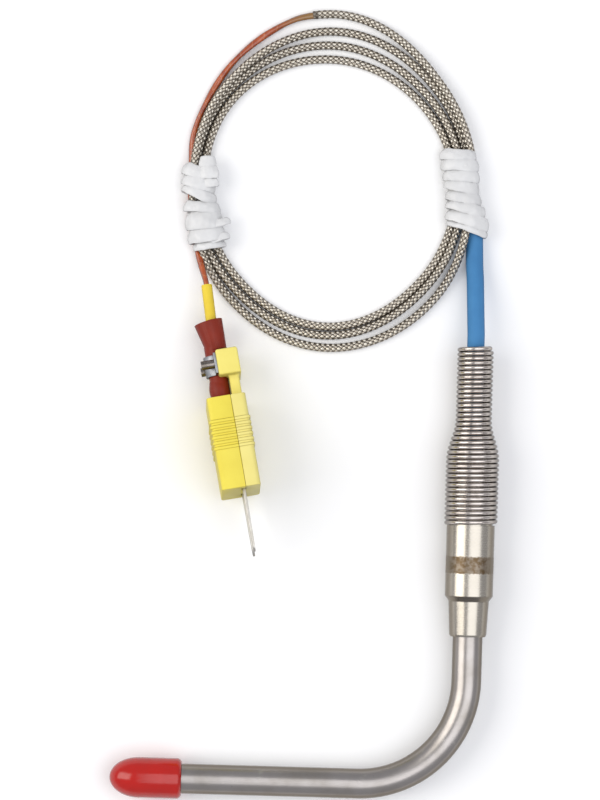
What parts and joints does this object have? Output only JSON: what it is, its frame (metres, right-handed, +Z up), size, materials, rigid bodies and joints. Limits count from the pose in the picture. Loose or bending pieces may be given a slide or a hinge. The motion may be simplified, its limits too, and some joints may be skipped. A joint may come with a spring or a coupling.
{
  "type": "bent probe thermocouple with plug",
  "caption": "Bent metal probe thermocouple with a tip cap, a spring strain relief, a coiled braided lead and a flat-blade plug.",
  "frame": {"origin": "bottom centre of the probe's own box (tube, cap, ferrule and spring, without the lead and plug); z = 0 is the surface it lies on", "axes": "+Z up, -X along the sensing leg towards the capped tip, +Y along the other leg towards the lead"},
  "size_m": [0.0808, 0.1688, 0.0193],
  "materials": {
    "tube_steel": "satin",
    "bright_steel": "polished",
    "spring_steel": "bright drawn",
    "cap_red": "glossy",
    "ceramic": "fired, matte",
    "wire_metal": "drawn",
    "potting_dark": "matte",
    "brass": "plain",
    "sleeve_blue": "matte",
    "braid": "woven metal",
    "film_orange": "glossy film",
    "sleeve_yellow": "matte",
    "grommet_brown": "satin",
    "plug_yellow": "moulded",
    "plug_pale": "moulded",
    "saddle_metal": "plain",
    "tie_white": "soft ribbon"
  },
  "bodies": {
    "probe": {"sheath_tube": "tube_steel", "end_plug": "tube_steel", "ceramic_beads": "ceramic", "wire_positive": "wire_metal", "wire_negative": "wire_metal", "junction_bead": "wire_metal", "transition_ferrule": "bright_steel", "potting": "potting_dark", "splice_barrels": "brass", "braid_crimp": "brass", "strain_spring": "spring_steel", "lead_sleeve": "sleeve_blue", "lead_tail": "braid", "lead_coil": "braid", "film_pair": "film_orange", "yellow_sleeve": "sleeve_yellow", "lead_grommet": "grommet_brown", "clamp_bracket": "plug_yellow", "clamp_saddle": "saddle_metal", "clamp_screws": "bright_steel", "plug_base": "plug_yellow", "plug_cover": "plug_pale", "cover_screw": "bright_steel", "blade_positive": "bright_steel", "blade_negative": "bright_steel", "terminal_screws": "bright_steel", "conductor_positive": "wire_metal", "conductor_negative": "wire_metal", "tie_left": "tie_white", "tie_right": "tie_white"},
    "cap": {"tip_cap": "cap_red"}
  },
  "joints": [
    {"name": "cap_pull", "type": "slide", "parent": "probe", "child": "cap", "axis": [-1, 0, 0], "range_m": [0, 0.06]}
  ]
}
